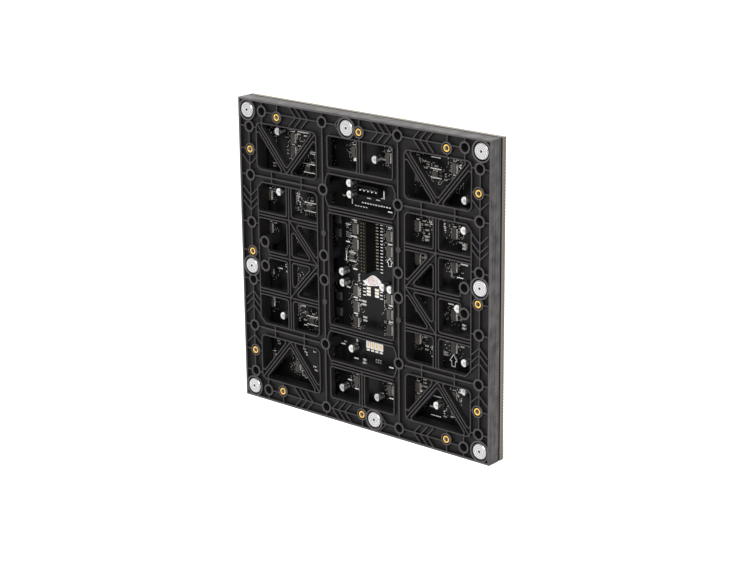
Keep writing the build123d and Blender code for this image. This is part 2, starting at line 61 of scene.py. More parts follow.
# Magnets and inserts of one quarter, and the board's copper
magnet_spots = ((115.8, 115.8), (12.5, 115.1), (115.1, 12.5))
insert_spots = ((113.6, 84.2), (84.2, 113.6), (113.6, 0.0), (0.0, 113.6))
# Inner and outer radius of the dark ring painted round each insert as painted shade
insert_rim_shade = (2.65, 2.85)
thread_pitch = 0.7
track_pitch = 1.0

# Signal socket and screws
pin_pitch = 2.54
socket_pins = 16
socket_middle_y = 22.525
socket_height = 12.2
opening_depth = 2.4
contact_offset = pin_pitch / 2
shelf_level = -11.7
head_level = -9.9
screw_radius = 1.4
screw_head_radius = 2.75

# Chips' leads, cans, and the thin layers of vias and print
lead_reach = 1.05
lead_thickness = 0.16
can_radius = 3.15
can_rim_level = 6.65
print_thickness = 0.03

# From the rear view's millimetres to the shared frame's metres, upright on the lower side
stand = Matrix((
    (-mm, 0, 0, 0),
    (0, 0, mm, rear_level * mm),
    (0, mm, 0, half_side * mm),
    (0, 0, 0, 1),
))

# Kinds of node that come up often
MATH = "ShaderNodeMath"
VECTOR = "ShaderNodeVectorMath"
POINT = "ShaderNodeCombineXYZ"
RANGE = "ShaderNodeMapRange"
MIX = "ShaderNodeMix"
BUMP = "ShaderNodeBump"
BOX = "GeometryNodeMeshCube"
SHIFT = "GeometryNodeTransform"
JOIN = "GeometryNodeJoinGeometry"
COPIES = "GeometryNodeInstanceOnPoints"
PAINT = "GeometryNodeSetMaterial"
RGBA = {"data_type": "RGBA"}


# Node helpers
def colour(code):
    """sRGB hex to linear."""
    parts = [int(code[i:i + 2], 16) / 255 for i in (1, 3, 5)]
    linear = [c / 12.92 if c <= 0.04045 else ((c + 0.055) / 1.055) ** 2.4 for c in parts]
    return (*linear, 1.0)


def feed(node, feeds):
    """Inputs of a node, by name or by their order among those shown: each takes a value, a hex
    colour, an output, a node that stands for its first shown output, or a list of such."""
    if not isinstance(feeds, dict):
        feeds = dict(enumerate(feeds))
    shown = [socket for socket in node.inputs if socket.enabled]
    for key, given in feeds.items():
        socket = node.inputs[key] if isinstance(key, str) else shown[key]
        for value in given if isinstance(given, list) else [given]:
            if isinstance(value, bpy.types.Node):
                value = next(output for output in value.outputs if output.enabled)
            if isinstance(value, bpy.types.NodeSocket):
                node.id_data.links.new(value, socket)
            else:
                is_colour = isinstance(value, str) and value.startswith("#")
                socket.default_value = colour(value) if is_colour else value


def add_node(tree, kind, feeds=(), **settings):
    """A node with its settings and its inputs."""
    node = tree.nodes.new(kind)
    for name, value in settings.items():
        setattr(node, name, value)
    feed(node, feeds)
    return node


def emptied(owner):
    """The function that adds nodes to a material or world, its own nodes removed."""
    owner.use_nodes = True
    owner.node_tree.nodes.clear()
    return partial(add_node, owner.node_tree)


def new_finish(name, roughness, metallic=0.0, base="#808080", plain=None):
    """A material with its plain values on the shader's own sockets. With it come the function that
    adds its nodes, its shader, and Object coordinates in millimetres, whole and as x, y and z."""
    material = bpy.data.materials.new(name)
    add = emptied(material)
    shader = add("ShaderNodeBsdfPrincipled", {
        "Base Color": base, "Roughness": roughness, "Metallic": metallic, **(plain or {})})
    add("ShaderNodeOutputMaterial", {"Surface": shader})
    metres = add("ShaderNodeTexCoord").outputs["Object"]
    where = add(VECTOR, {"Vector": metres, "Scale": 1 / mm}, operation="SCALE")
    return material, add, shader, where, add("ShaderNodeSeparateXYZ", (where,)).outputs


def grain(add, where, size, detail=2.0, stretch=(1.0, 1.0, 1.0)):
    """Noise whose lumps are size millimetres across, drawn out along the larger stretches."""
    spaced = add(VECTOR, (where, tuple(1 / s for s in stretch)), operation="MULTIPLY")
    return add("ShaderNodeTexNoise", {"Vector": spaced, "Scale": 1 / size, "Detail": detail})


def wave(add, value, pitch):
    """Sine that repeats every pitch millimetres."""
    phase = add(MATH, (value, 2 * math.pi / pitch), operation="MULTIPLY")
    return add(MATH, (phase,), operation="SINE")


def folded(add, axes):
    """Distances sideways and upwards from the module's middle, alike in all four quarters."""
    upward = add(MATH, (axes[2], half_side), operation="SUBTRACT")
    return [add(MATH, (way,), operation="ABSOLUTE") for way in (axes[0], upward)]


def outline_reach(add, axes):
    """How far a point stands from the module's axis, along the further of its two sides."""
    return add(MATH, folded(add, axes), operation="MAXIMUM")


def nearest_gap(add, axes, spots):
    """Distance to the nearest of some spots that repeat in all four quarters of the module."""
    out_x, out_z = folded(add, axes)
    flat = add(POINT, {"X": out_x, "Z": out_z})
    nearest = None
    for x, y in spots:
        gap = add(VECTOR, (flat, (x, 0.0, y)), operation="DISTANCE")
        nearest = add(MATH, (gap, nearest), operation="MINIMUM") if nearest else gap
    return nearest


# Finishes
def moulded_frame():
    """Glass-filled polycarbonate, injection moulded against an eroded steel face: a soft sheen, a
    grain drawn at 0.4 mm, coarser than the real one so that it shows, flow lines that run along
    the rim, and painted light and shade by depth: rib tops painted paler as painted light, the
    floors between them painted dark as painted shade."""
    material, add, shader, where, axes = new_finish(
        "moulded_polycarbonate", 0.46, plain={"IOR": 1.58, "Specular IOR Level": 0.08})
    flow = grain(add, where, 0.8, 3.0, (70.0, 0.9, 70.0))
    cloud = grain(add, where, 9.0, 4.0)
    pits = grain(add, where, 0.4)
    # Painted light and shade by depth: faces near the rear plane painted pale as painted light,
    # faces more than 1 mm down painted dark as painted shade in the recesses
    level = add(RANGE, (axes[1], rear_level - 1.0, rear_level - 0.15))
    inner = add(MIX, (level, "#121111", "#504d4e"), **RGBA)
    worn = add(RANGE, (pits, 0.42, 0.7, 0.0, 0.4))
    speckle_and_depth_shade = add(MIX, (worn, inner, "#434041"), **RGBA)
    # The outer walls stand furthest out and take a paler, streaked tone: the streaks are flow lines,
    # the paler tone is painted light. The shadow groove and a band 0.5 mm wide on its rear side keep
    # the floors' dark tone as painted shade
    far_out = add(RANGE, (outline_reach(add, axes), half_side - 0.5, half_side - 0.3))
    sunk = add(MATH, (axes[1], groove_shade_middle, groove_shade_half), operation="COMPARE")
    outside = add(MATH, (far_out, sunk), operation="SUBTRACT", use_clamp=True)
    # The flange in front of the groove is painted pale as a painted highlight along the edge
    flange = add(RANGE, (axes[1], flange_level - 0.1, flange_level + 0.1, 1.0, 0.0))
    share = add(MATH, (flow, 1.3, cloud), operation="MULTIPLY_ADD")
    streaks = add(RANGE, (share, 0.8, 1.5))
    wall = add(MIX, (streaks, "#2c2a2a", "#73706f"), **RGBA)
    wall = add(MIX, (flange, wall, "#858081"), **RGBA)
    # The mould leaves each rib edge with a radius of about 0.2 mm, which catches the light
    soft = add("ShaderNodeBevel", {"Radius": 0.22 * mm}, samples=4)
    feed(shader, {
        "Base Color": add(MIX, (outside, speckle_and_depth_shade, wall), **RGBA),
        "Roughness": add(RANGE, (cloud, 0.3, 0.7, 0.38, 0.52)),
        "Normal": add(BUMP, {"Height": pits, "Distance": 0.03 * mm, "Normal": soft})})
    return material


def masked_board():
    """Glass-fibre board under black solder mask: glossy, with the tracks just showing as raised
    lines 0.5 mm wide, and a bare straw-coloured edge."""
    material, add, shader, where, axes = new_finish(
        "black_solder_mask", 0.3, plain={"IOR": 1.52, "Specular IOR Level": 0.1})
    # Fields of 5 by 23 mm, in which the tracks run either way or are left out
    spaced = add(VECTOR, (where, (1 / 5.0, 0.0, 1 / 23.0)), operation="MULTIPLY")
    fields = add("ShaderNodeTexVoronoi", {"Vector": spaced, "Scale": 1.0}, distance="MANHATTAN")
    pick = add("ShaderNodeSeparateColor", (fields.outputs["Color"],)).outputs
    turn = add(MATH, (pick[0], 0.45), operation="GREATER_THAN")
    filled = add(MATH, (pick[1], 0.35), operation="GREATER_THAN")
    lines = add(MIX, (turn, wave(add, axes[2], track_pitch), wave(add, axes[0], track_pitch)))
    tracks = add(RANGE, (lines, -0.1, 0.25))
    shown = add(MATH, (tracks, filled), operation="MULTIPLY")
    coat = add(MIX, (shown, "#0b0b0c", "#151516"), **RGBA)
    # The bare edge: everything within 0.05 mm of the outline
    edge = add(RANGE, (outline_reach(add, axes), half_side - 0.05, half_side - 0.02))
    layers = grain(add, where, 0.25, 2.0, (30.0, 1.0, 30.0))
    glass = add(MIX, (layers, "#6e644b", "#9d9171"), **RGBA)
    feed(shader, {
        "Base Color": add(MIX, (edge, coat, glass), **RGBA),
        "Roughness": add(RANGE, (edge, 0.0, 1.0, 0.28, 0.75)),
        "Normal": add(BUMP, {"Height": shown, "Distance": 0.03 * mm})})
    return material


def mottled(name, tones, roughness, size, detail=2.0, contrast=(0.0, 1.0), depth=0.0, pits=None,
            strength=1.0, metallic=0.0, base="#808080", plain=None):
    """Two tones of one material in lumps of one size, with a relief of some depth that follows the
    lumps or pits of their own size, all in millimetres."""
    material, add, shader, where, _ = new_finish(name, roughness, metallic, base, plain)
    lumps = grain(add, where, size, detail)
    share = add(RANGE, (lumps, *contrast))
    feed(shader, {"Base Color": add(MIX, (share, *tones), **RGBA)})
    if depth:
        height = grain(add, where, pits) if pits else lumps
        feed(shader, {"Normal": add(BUMP, {
            "Height": height, "Distance": depth * mm, "Strength": strength})})
    return material


def plated(name, dark, light, roughness, metallic, size=0.5):
    """Plating on small metal: two tones of the same metal in shallow patches."""
    return mottled(name, (dark, light), roughness, size, contrast=(0.3, 0.7), depth=0.02,
                   strength=0.5, metallic=metallic, base=light)


def lamp_body():
    """Lamp body: a straw-coloured laminate foot 0.3 mm thick under a black moulding."""
    material, add, shader, where, axes = new_finish("lamp_foot_and_moulding", 0.6)
    pits = grain(add, where, 0.3)
    foot_end = rear_level + front_level - 0.3
    foot = add(RANGE, (axes[1], foot_end - 0.02, foot_end + 0.02))
    laminate = add(MIX, (pits, "#655c48", "#857a60"), **RGBA)
    moulding = add(MIX, (pits, "#131313", "#242322"), **RGBA)
    feed(shader, {
        "Base Color": add(MIX, (foot, moulding, laminate), **RGBA),
        "Normal": add(BUMP, {"Height": pits, "Distance": 0.02 * mm})})
    return material


def turned_nickel():
    """Nickel-plated steel, faced on a lathe: rings round each disc's centre, drawn 1.5 mm apart so
    that they show, a dark disc at the centre as painted shade in the dimple, and small grey
    handling marks."""
    material, add, shader, where, axes = new_finish("turned_nickel_plate", 0.3, 0.85, "#c9cbd0")
    nearest = nearest_gap(add, axes, magnet_spots)
    rings = wave(add, nearest, 1.5)
    share = add(MATH, (rings, 0.3, grain(add, where, 0.7, 3.0)), operation="MULTIPLY_ADD")
    face = add(MIX, (add(RANGE, (share, 0.1, 0.9)), "#707071", "#d6d6d5"), **RGBA)
    # Painted shade in each magnet's dimple: a dark disc out to 0.75 to 0.95 mm from the centre
    centre = add(RANGE, (nearest, 0.75, 0.95, 1.0, 0.0))
    feed(shader, {
        "Base Color": add(MIX, (centre, face, "#1d1715"), **RGBA),
        "Normal": add(BUMP, {"Height": rings, "Distance": 0.03 * mm, "Strength": 0.8})})
    return material


def turned_brass():
    """Free-cutting brass, bright: the thread of the bore at 0.7 mm pitch as a relief, the bore's
    wall painted pale near the top as painted light and dark further down as painted shade, a dark
    ring painted round each insert's outer edge as painted shade, and tarnish in patches of 0.8 mm."""
    material, add, shader, where, axes = new_finish("turned_brass", 0.24, 1.0, "#dda93c")
    marks = add(RANGE, (grain(add, where, 0.8, 3.0), 0.3, 0.7))
    face = add(MIX, (marks, "#bd8628", "#f3d075"), **RGBA)
    # Painted shade: a dark ring round each insert's outer edge
    rim_shade = add(RANGE, (nearest_gap(add, axes, insert_spots), *insert_rim_shade))
    face = add(MIX, (rim_shade, face, "#33240f"), **RGBA)
    # The bore's wall: painted pale near the top as painted light, dark from 2.6 to 3.6 mm down as
    # painted shade
    bore = add(RANGE, (axes[1], rear_level - 0.3, rear_level - 0.1, 1.0, 0.0))
    deep = add(RANGE, (axes[1], rear_level - 3.6, rear_level - 2.6, 1.0, 0.0))
    bore_light_and_shade = add(MIX, (deep, "#a39a91", "#120d07"), **RGBA)
    thread = wave(add, axes[1], thread_pitch)
    feed(shader, {
        "Base Color": add(MIX, (bore, face, bore_light_and_shade), **RGBA),
        "Metallic": add(RANGE, (bore, 0.0, 1.0, 1.0, 0.3)),
        "Normal": add(BUMP, {"Height": thread, "Distance": 0.08 * mm})})
    return material


def coated_pads(name, across, upward):
    """Hot-air levelled pads: a pale coat of solder, through which warm gold-coloured patches show.
    Each direction gives the first patch, half the step to the next and half a patch."""
    material, add, shader, where, axes = new_finish(name, 0.4, 0.4)
    shares = []
    for axis, (first, half_step, half_patch) in ((axes[0], across), (axes[2], upward)):
        moved = add(MATH, (axis, first), operation="SUBTRACT")
        gap = add(MATH, (moved, half_step), operation="PINGPONG")
        shares.append(add(RANGE, (gap, half_patch * 0.8, half_patch * 1.2, 1.0, 0.0)))
    patch = add(MATH, shares, operation="MULTIPLY")
    mottle = grain(add, where, 0.7)
    coat = add(MIX, (mottle, "#c9c6bf", "#e3e1dc"), **RGBA)
    warm = add(MIX, (mottle, "#c08f4c", "#dcb983"), **RGBA)
    feed(shader, {
        "Base Color": add(MIX, (patch, coat, warm), **RGBA),
        "Normal": add(BUMP, {"Height": mottle, "Distance": 0.04 * mm, "Strength": 0.5})})
    return material


def drawn_aluminium():
    """Deep-drawn aluminium of a capacitor can: bright, with upright draw marks, wider than the real
    ones so that they show, dark and bright bands round the side as painted reflection, and the
    printed polarity segment on top read from the can's map."""
    material, add, shader, where, _ = new_finish("drawn_aluminium", 0.3, 0.9, "#d4d4d2")
    draw = grain(add, where, 0.3, 2.0, (1.0, 12.0, 1.0))
    metal = add(MIX, (draw, "#c4c3c0", "#eae9e6"), **RGBA)
    # The map holds the top face within 0 to 1, and gives the sides a height of 2
    spot = add("ShaderNodeUVMap", uv_map="can_top")
    around, height, _ = add("ShaderNodeSeparateXYZ", (spot,)).outputs
    side = add(MATH, (height, 1.5), operation="GREATER_THAN")
    # Painted reflection: dark and bright bands by angle round the side, alike on every can
    reflection_bands = add("ShaderNodeTexNoise", {"W": around, "Scale": 14.0, "Detail": 2.0},
                  noise_dimensions="1D")
    drawn = add(MIX, (add(RANGE, (reflection_bands, 0.45, 0.62)), "#2e2e2f", "#e6e6e4"), **RGBA)
    printed = add(RANGE, (around, 0.70, 0.72))
    top = add(MATH, (1.0, side), operation="SUBTRACT")
    segment = add(MATH, (printed, top), operation="MULTIPLY")
    out = add(VECTOR, (spot, (0.5, 0.5, 0.0)), operation="DISTANCE")
    middle = add(RANGE, (out, 0.12, 0.24, 1.0, 0.0))
    metal = add(MIX, (middle, metal, "#a8a6a5"), **RGBA)
    metal = add(MIX, (side, metal, drawn), **RGBA)
    # The top is etched by washing and scatters more than the drawn side does
    bare = add(RANGE, (side, 0.0, 1.0, 0.15, 0.85))
    kept = add(RANGE, (segment, 0.0, 1.0, 1.0, 0.0))
    feed(shader, {
        "Base Color": add(MIX, (segment, metal, "#161616"), **RGBA),
        "Metallic": add(MATH, (bare, kept), operation="MULTIPLY")})
    return material


def stamped_paper():
    """Coated paper sticker: white with grey smears of 1.4 mm, and a faint pink ring and blush left
    by an inspection stamp."""
    material, add, shader, where, axes = new_finish("coated_paper", 0.62)
    fibre = grain(add, where, 0.5, 3.0)
    face = add(MIX, (fibre, "#cbc8c3", "#efedea"), **RGBA)
    aside = add(MATH, (axes[0], 0.6), operation="MULTIPLY")
    above = add(MATH, (axes[2], half_side - 7.4), operation="SUBTRACT")
    gap = add(VECTOR, (add(POINT, (aside, above)),), operation="LENGTH")
    ring = add(MATH, (gap, 2.6, 0.28), operation="COMPARE")
    faint = add(MATH, (ring, fibre), operation="MULTIPLY")
    blush = add(RANGE, (gap, 0.8, 3.6, 0.4, 0.0))
    face = add(MIX, (blush, face, "#c39aa0"), **RGBA)
    smears = grain(add, where, 1.4, 3.0, (2.4, 1.0, 0.7))
    face = add(MIX, (add(RANGE, (smears, 0.52, 0.6, 0.0, 0.45)), face, "#8f8c86"), **RGBA)
    feed(shader, {
        "Base Color": add(MIX, (faint, face, "#b85f6d"), **RGBA),
        "Normal": add(BUMP, {"Height": fibre, "Distance": 0.03 * mm})})
    return material


# Transfer-moulded epoxy of the chips: nearly matt, with an eroded grain of 0.3 mm and a paler cloud
# of 3 mm where flux was wiped off
chip_epoxy = mottled("chip_moulding_compound", ("#272422", "#463f38"), 0.5, 3.0,
                     depth=0.02, pits=0.3)
# The buffer chips: the same compound painted near black as painted shade
shaded_epoxy = mottled("shaded_chip_compound", ("#0d0c0c", "#1a1817"), 0.55, 3.0,
                     depth=0.02, pits=0.3)
# Silicone over the lamp chips: milky, slightly soft, wet gloss
silicone = mottled("milky_silicone", ("#b7b19a", "#d6d2bf"), 0.22, 0.8, base="#c9c4ae",
                   plain={"IOR": 1.45})
# Zinc, tin, solder and gold on small metal; the buffer chips' leads are painted darker as painted
# shade
black_zinc = plated("black_zinc_plate", "#0d0d0e", "#1c1c1e", 0.45, 0.6)
tin = plated("bright_tin_plate", "#b0aea9", "#e9e7e3", 0.35, 0.7)
solder = plated("levelled_solder", "#b9b29a", "#e4e0cf", 0.4, 0.7, 1.0)
shaded_tin = plated("shaded_tin_plate", "#4a4845", "#706d69", 0.5, 0.6)
gold = plated("gold_flash", "#a98546", "#ecd59a", 0.35, 0.7)
# Glass-filled polyester of sockets and capacitor bases: black, satin, with a faint grain
socket_polyester, base_polyester = (
    mottled(name, (tone, "#151414"), 0.5, 0.35, depth=0.02, plain={"Specular IOR Level": 0.06})
    for name, tone in (("black_filled_polyester", "#0b0a0a"), ("black_base_moulding", "#0f0f10")))
# Fired ceramic of the small chips, mottled at 0.4 mm
titanate = mottled("barium_titanate_ceramic", ("#5f4c38", "#8d765a"), 0.45, 0.4, 3.0)
glazed_resistor = mottled("black_glazed_alumina", ("#131313", "#242424"), 0.4, 0.4, 3.0)
alumina = mottled("white_alumina", ("#8c8b86", "#c4c3bd"), 0.5, 0.4, 3.0)
# White epoxy ink, screen printed: matt, slightly thin in places
ink = mottled("white_screen_ink", ("#b9b9b5", "#ededea"), 0.6, 0.5, 3.0, (0.3, 0.6))
lamp_epoxy = lamp_body()

dressing = {
    "rear_frame": moulded_frame(),
    "circuit_board": masked_board(),
    "magnet_posts": turned_nickel(),
    "threaded_inserts": turned_brass(),
    "frame_screws": black_zinc,
    "solder_nuts": tin,
    "driver_chips": chip_epoxy,
    "switch_chips": chip_epoxy,
    "buffer_chips": shaded_epoxy,
    "capacitor_bases": base_polyester,
    "signal_socket": socket_polyester,
    "socket_contacts": gold,
    "socket_tails": solder,
    "socket_pads": coated_pads(
        "levelled_spare_pads", (4.2, 4.2, 1.7), (half_side - 12.975, 1.27, 0.3)),
    "auxiliary_socket": socket_polyester,
    "auxiliary_pins": tin,
    "power_pads": coated_pads(
        "levelled_power_pads", (5.3, 2.2, 0.85), (half_side - 60.4, 30.0, 1.9)),
    "inspection_sticker": stamped_paper(),
}
for node, material in dressing.items():
    for material_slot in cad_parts[node].material_slots:
        material_slot.material = material


# Pieces
def set_piece(name, mesh, nodes=(), materials=()):
    """A finished piece from a mesh in the rear view, riding on the module."""
    mesh.transform(stand)
    if materials:
        mesh.materials.clear()
        for material in materials:
            mesh.materials.append(material)
    piece = bpy.data.objects.new(name, mesh)
    bpy.context.scene.collection.objects.link(piece)
    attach(piece, "root")
    if nodes:
        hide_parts(*nodes)
    return piece


def new_tree(name, **inputs):
    """A Geometry Nodes tree with named inputs, given as the labels of each kind of socket."""
    tree = bpy.data.node_groups.new(name, "GeometryNodeTree")
    for kind, labels in {"Geometry": ["Geometry"], **inputs}.items():
        for label in labels:
            tree.interface.new_socket(label, in_out="INPUT", socket_type="NodeSocket" + kind)
    tree.interface.new_socket("Geometry", in_out="OUTPUT", socket_type="NodeSocketGeometry")
    add = partial(add_node, tree)
    return tree, add, add("NodeGroupInput").outputs


def end_tree(add, points, shape, material, turn=None, mark=None, marked_material=None):
    """Copies of a shape on points, turned about z, made real and given their material, and a
    second material where the faces carry a mark."""
    spread = {"Points": points, "Instance": shape}
    if turn is not None:
        spread["Rotation"] = add("FunctionNodeEulerToRotation", (add(POINT, {"Z": turn}),))
    real = add("GeometryNodeRealizeInstances", (add(COPIES, spread),))
    whole = add(PAINT, {"Geometry": real, "Material": material})
    if mark is not None:
        faces = add("GeometryNodeInputNamedAttribute", {"Name": mark}, data_type="BOOLEAN")
        whole = add(PAINT, {
            "Geometry": whole, "Selection": faces, "Material": marked_material})
    add("NodeGroupOutput", (whole,))


def standing_box(add, length, width, height, out=0.0):
    """A box that stands on z = 0, moved out along x."""
    box = add(BOX, {"Size": add(POINT, (length, width, height))})
    lift = add(MATH, (height, 0.5), operation="MULTIPLY")
    return add(SHIFT, {"Geometry": box, "Translation": add(POINT, {"X": out, "Z": lift})})


def bent_strip(add, bends, width, thickness):
    """A strip of metal along one curve, from its two ends and two handles as x and z."""
    corners = [add(POINT, {"X": x, "Z": z}) for x, z in bends]
    path = add("GeometryNodeCurvePrimitiveBezierSegment", {
        "Resolution": 5, "Start": corners[0], "Start Handle": corners[1],
        "End Handle": corners[2], "End": corners[3]})
    level = add("GeometryNodeSetCurveNormal", (path,), mode="Z_UP")
    section = add("GeometryNodeCurvePrimitiveQuadrilateral", {
        "Width": width, "Height": thickness})
    return add("GeometryNodeCurveToMesh", {
        "Curve": level, "Profile Curve": section, "Fill Caps": True})


def half_turned(add, shape):
    """A copy of a shape turned half round z."""
    return add(SHIFT, {"Geometry": shape, "Rotation": (0.0, 0.0, math.pi)})


def grown(name, points, tree, values, pattern=None):
    """The plain mesh that a tree makes from points, in millimetres. A pattern is the label of an
    input and the mesh that it repeats."""
    dots = bpy.data.meshes.new(name + "_points")
    dots.from_pydata(points, [], [])
    holder = bpy.data.objects.new(name + "_holder", dots)
    helpers = [holder]
    if pattern:
        helpers.append(bpy.data.objects.new(name + "_pattern", pattern[1]))
        values = {**values, pattern[0]: helpers[-1]}
    for helper in helpers:
        bpy.context.scene.collection.objects.link(helper)
    modifier = holder.modifiers.new("Repeat", "NODES")
    modifier.node_group = tree
    for item in tree.interface.items_tree:
        if item.in_out == "INPUT" and item.name in values:
            modifier[item.identifier] = values[item.name]
    graph = bpy.context.evaluated_depsgraph_get()
    mesh = bpy.data.meshes.new_from_object(holder.evaluated_get(graph), depsgraph=graph)
    for helper in helpers:
        bpy.data.objects.remove(helper)
    mesh.name = name
    return mesh


# Lamps of the front: black bodies with a sunk, milky window, 96 by 96
def lamp_tree():
    tree, add, given = new_tree(
        "lamp_grid", Int=["Count"], Material=["Body", "Window"],
        Float=["Pitch", "Side", "Height", "Window share", "Window sink"])
    steps = add(MATH, (given["Count"], 1.0), operation="SUBTRACT")
    reach = add(MATH, (steps, given["Pitch"]), operation="MULTIPLY")
    grid = add("GeometryNodeMeshGrid", {
        "Size X": reach, "Size Y": reach,
        "Vertices X": given["Count"], "Vertices Y": given["Count"]})
    size = add(POINT, (given["Side"], given["Side"], given["Height"]))
    body = add(BOX, {"Size": size})
    facing = add("ShaderNodeSeparateXYZ", (add("GeometryNodeInputNormal"),)).outputs[2]
    back = add("FunctionNodeCompare", (facing, 0.5), operation="GREATER_THAN")
    front = add("FunctionNodeCompare", (facing, -0.5), operation="LESS_THAN")
    ring = add("GeometryNodeExtrudeMesh", {
        "Mesh": body, "Selection": front, "Offset Scale": 0.0}).outputs
    inset = add("GeometryNodeScaleElements", {
        "Geometry": ring["Mesh"], "Selection": ring["Top"], "Scale": given["Window share"]})
    sunk = add("GeometryNodeSetPosition", {
        "Geometry": inset, "Selection": ring["Top"],
        "Offset": add(POINT, {"Z": given["Window sink"]})})
    marked = add("GeometryNodeStoreNamedAttribute", {
        "Geometry": sunk, "Name": "window", "Value": ring["Top"]},
        data_type="BOOLEAN", domain="FACE")
    open_back = add("GeometryNodeDeleteGeometry", {"Geometry": marked, "Selection": back},
                    domain="FACE")
    end_tree(add, grid, open_back, given["Body"], mark="window",
             marked_material=given["Window"])
    return tree


lamp_mesh = grown("lamp_grid", [(0, 0, 0)], lamp_tree(), {
    "Count": lamp_count, "Pitch": 2 * half_side / lamp_count, "Side": lamp_side,
    "Height": lamp_height, "Window share": 0.7, "Window sink": 0.25, "Body": lamp_epoxy,
    "Window": silicone})
lamp_mesh.transform(Matrix.Translation((0, 0, front_level - lamp_height / 2)))
set_piece("lamp_grid", lamp_mesh, ["led_lamps"])


# Chip leads: bent feet down both sides of each chip
def lead_tree():
    tree, add, given = new_tree(
        "chip_leads", Int=["Leads"], Material=["Metal"],
        Float=["Lead pitch", "Body width", "Body height", "Reach", "Lead width",
               "Lead thickness", "Turn"])
    half, middle, sole = (
        add(MATH, (given[label], share), operation="MULTIPLY")
        for label, share in (("Body width", 0.5), ("Body height", 0.45), ("Lead thickness", 0.5)))
    heel, bend, toe = (
        add(MATH, (given["Reach"], share, half), operation="MULTIPLY_ADD")
        for share in (0.18, 0.62, 1.0))
    lead = bent_strip(add, ((half, middle), (bend, middle), (heel, sole), (toe, sole)),
                      given["Lead width"], given["Lead thickness"])
    steps = add(MATH, (given["Leads"], -1.0), operation="ADD")
    span = add(MATH, (steps, given["Lead pitch"]), operation="MULTIPLY")
    first = add(MATH, (span, -0.5), operation="MULTIPLY")
    line = add("GeometryNodeMeshLine", {
        "Count": given["Leads"], "Start Location": add(POINT, {"Y": first}),
        "Offset": add(POINT, {"Y": given["Lead pitch"]})})
    row = add(COPIES, {"Points": line, "Instance": lead})
    both = add(JOIN, {"Geometry": [row, half_turned(add, row)]})
    end_tree(add, given["Geometry"], both, given["Metal"], given["Turn"])
    return tree


# Driver chips stand in columns, mirrored sideways; switch and buffer chips are given one by one
driver_columns = (17.0, 45.2, 80.3, 107.0)
driver_rows = (
    (93.5, 32.0, 19.6, -18.6, -31.4, -44.2, -93.5),
    (95.0, 84.5, 45.0, 19.0, -19.0, -45.0, -84.5, -95.0),
    (95.0, 84.5, 45.0, 19.0, -19.0, -45.0, -84.5, -95.0),
    (93.0, 45.0, 17.4, -17.4, -45.0, -93.0),
)
driver_places = [
    (side * x, y)
    for x, column in zip(driver_columns, driver_rows)
    for y in column
    for side in (1, -1)
]
switch_places = (
    (-65.0, 72.6), (-64.0, 41.3), (-64.0, -53.0), (62.5, 88.2), (-20.5, 8.6), (63.5, -53.0),
    (-62.0, 90.0), (62.0, 52.0))
buffer_places = ((-34.8, 37.0), (-34.8, 26.0), (-34.8, -26.0), (-34.8, -39.0))


def on_board(places):
    return [(x, y, board_level) for x, y in places]


leads = lead_tree()
quarter = math.pi / 2
for name, places, sizes, node, metal in (
    ("driver_lead_rows", driver_places, (12, 0.65, 0.28, 3.9, 1.5, 0.0), "driver_leads", tin),
    ("switch_lead_rows", switch_places, (4, 1.27, 0.38, 3.9, 1.5, quarter), "switch_leads", tin),
    ("buffer_lead_rows", buffer_places, (10, 0.65, 0.28, 4.4, 1.1, 0.0), "buffer_leads", shaded_tin),
):
    count, pitch, lead_width, width, height, turn = sizes
    lead_mesh = grown(name, on_board(places), leads, {
        "Leads": count, "Lead pitch": pitch, "Body width": width, "Body height": height,
        "Reach": lead_reach, "Lead width": lead_width, "Lead thickness": lead_thickness,
        "Turn": turn, "Metal": metal})
    set_piece(name, lead_mesh, [node])


# Small chips: a ceramic block between two plated ends, on solder that reaches past them
def small_chip_tree():
    tree, add, given = new_tree(
        "small_chips", Material=["Block", "Plate"],
        Float=["Length", "Width", "Height", "End", "Lip", "Pad", "Turn"])
    inner = add(MATH, (given["Lip"], -2.0, given["Width"]), operation="MULTIPLY_ADD")
    low = add(MATH, (given["Height"], given["Lip"]), operation="SUBTRACT")
    block = standing_box(add, given["Length"], inner, low)
    plates = []
    for label, height, way in (("End", given["Height"], "SUBTRACT"), ("Pad", given["Lip"], "ADD")):
        apart = add(MATH, (given["Length"], given[label]), operation=way)
        for side in (-0.5, 0.5):
            out = add(MATH, (apart, side), operation="MULTIPLY")
            plates.append(standing_box(add, given[label], given["Width"], height, out))
    marked = add("GeometryNodeStoreNamedAttribute", {
        "Geometry": add(JOIN, {"Geometry": plates}), "Name": "plated", "Value": True},
        data_type="BOOLEAN", domain="FACE")
    chip = add(JOIN, {"Geometry": [block, marked]})
    end_tree(add, given["Geometry"], chip, given["Block"], given["Turn"], "plated",
             given["Plate"])
    return tree


# A ceramic capacitor beside each driver chip except in the outer columns, then groups of
# resistors and arrays, one below another
capacitor_places = [
    (x + 4.6, y + 2.0) for x, y in driver_places if abs(x) < driver_columns[-1]]
resistor_places = [
    (x, y - 1.7 * row)
    for x, y in ((-25.5, 35.0), (-25.5, 28.0), (-22.6, 27.5), (-26.5, 14.0), (55.0, 96.0),
                 (55.0, 77.5))
    for row in range(3)
]
array_places = [
    (x, y - 2.6 * row)
    for x, y in ((-8.6, -25.5), (-8.0, -38.5), (-9.0, -74.0), (89.5, 37.5), (89.5, -25.0),
                 (54.0, 38.0))
    for row in range(2)
]

